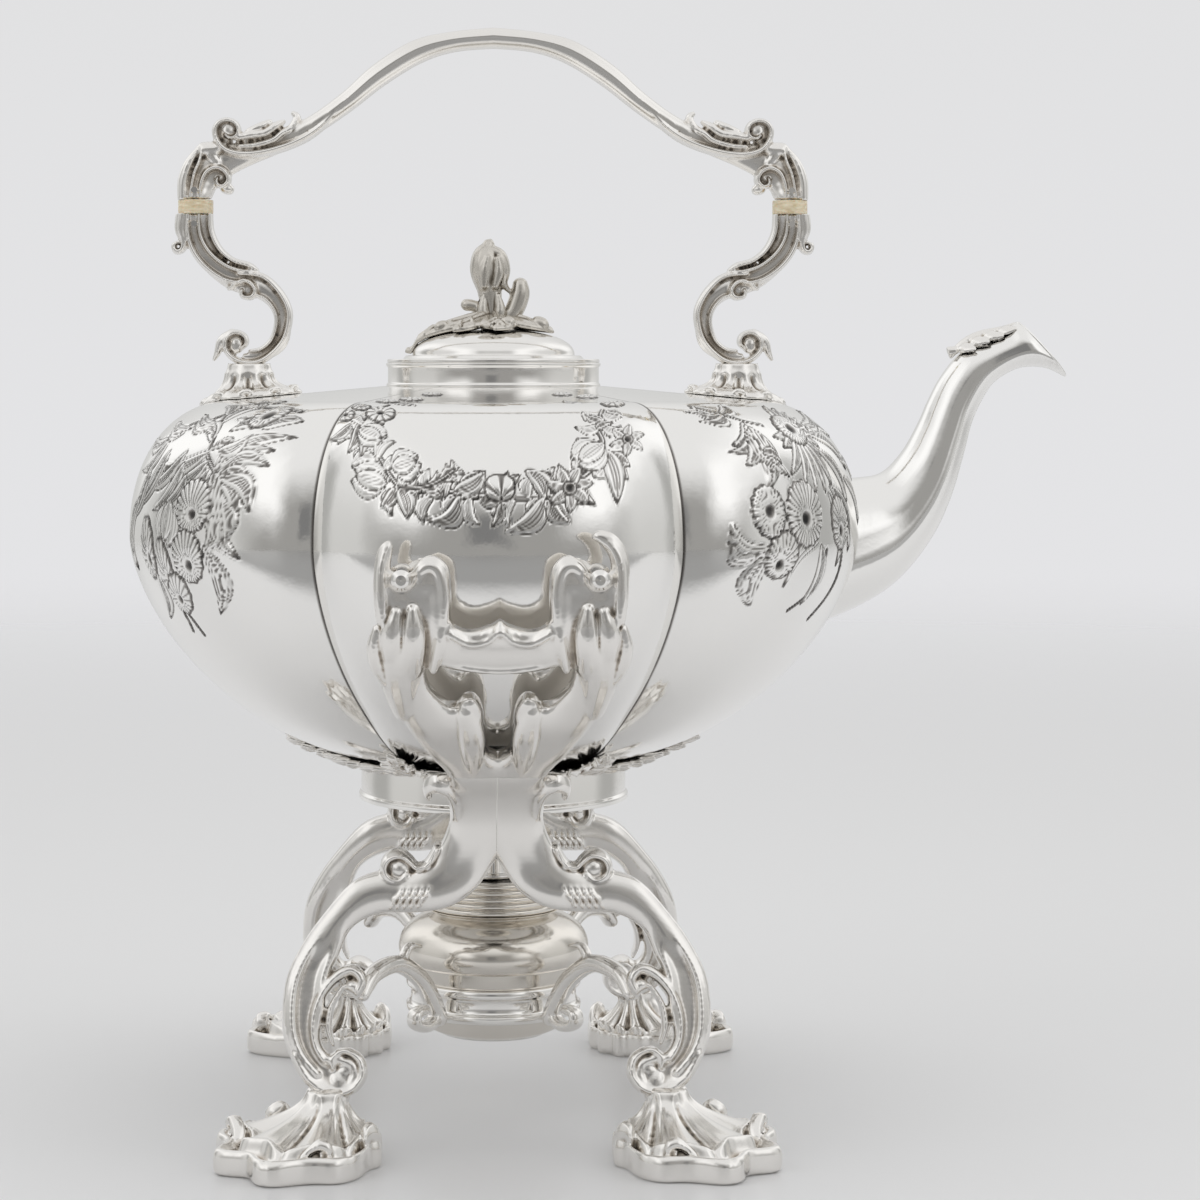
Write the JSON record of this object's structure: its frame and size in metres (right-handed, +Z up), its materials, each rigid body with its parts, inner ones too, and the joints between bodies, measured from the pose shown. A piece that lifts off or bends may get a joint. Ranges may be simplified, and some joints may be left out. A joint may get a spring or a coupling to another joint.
{
  "type": "spirit kettle on stand",
  "caption": "Lobed silver kettle with overhead scroll handle and hinged lid, tilting on pins in an openwork stand over a spirit lamp.",
  "frame": {"origin": "centre of the whole object's footprint box on the table under its feet", "axes": "+Z up, +X towards the spout, -Y towards the front of the stand"},
  "size_m": [0.3088, 0.2676, 0.3574],
  "materials": {
    "silver": "polished silver with darkened recesses",
    "ivory_disc": "satin, faint grain",
    "wick": "woven cotton"
  },
  "bodies": {
    "stand": {"front_fork": "silver", "rear_fork": "silver", "leg_front_left": "silver", "leg_front_right": "silver", "leg_rear_left": "silver", "leg_rear_right": "silver", "foot_front_left": "silver", "foot_front_right": "silver", "foot_rear_left": "silver", "foot_rear_right": "silver", "lamp_ring": "silver", "ring_arm_front_left": "silver", "ring_arm_front_right": "silver", "ring_arm_rear_left": "silver", "ring_arm_rear_right": "silver"},
    "kettle": {"kettle_body": "silver", "foot_rim": "silver", "base_foliage": "silver", "neck_collar": "silver", "spout": "silver", "spout_leaf": "silver", "pivot_pins": "silver", "rest_pins": "silver", "handle_socket_left": "silver", "handle_socket_right": "silver", "lower_arm_left": "silver", "lower_arm_right": "silver", "insulator_left": "ivory_disc", "insulator_right": "ivory_disc", "insulator_pins": "silver", "socket_pins": "silver", "handle_grip": "silver", "hinge_body_knuckles": "silver", "hinge_pin": "silver"},
    "lid": {"lid": "silver", "hinge_lid_knuckle": "silver", "finial_leaves": "silver", "finial_bud": "silver", "finial_nut": "silver"},
    "lamp": {"lamp_body": "silver", "lamp_collar": "silver", "wick_tube": "silver", "wick": "wick"},
    "snuffer": {"snuffer_cap": "silver"}
  },
  "joints": [
    {"name": "kettle_tilt", "type": "hinge", "parent": "stand", "child": "kettle", "pos_m": [-0.00743, 0, 0.1834], "axis": [0, 1, 0], "range_deg": [0, 40]},
    {"name": "lid_hinge", "type": "hinge", "parent": "kettle", "child": "lid", "pos_m": [-0.03613, 0.038, 0.24665], "axis": [-1, 0, 0], "range_deg": [0, 100]},
    {"name": "lamp_lift", "type": "slide", "parent": "stand", "child": "lamp", "axis": [0, 0, 1], "range_m": [0, 0.019]},
    {"name": "snuffer_lift", "type": "slide", "parent": "lamp", "child": "snuffer", "axis": [0, 0, 1], "range_m": [0, 0.008]}
  ]
}
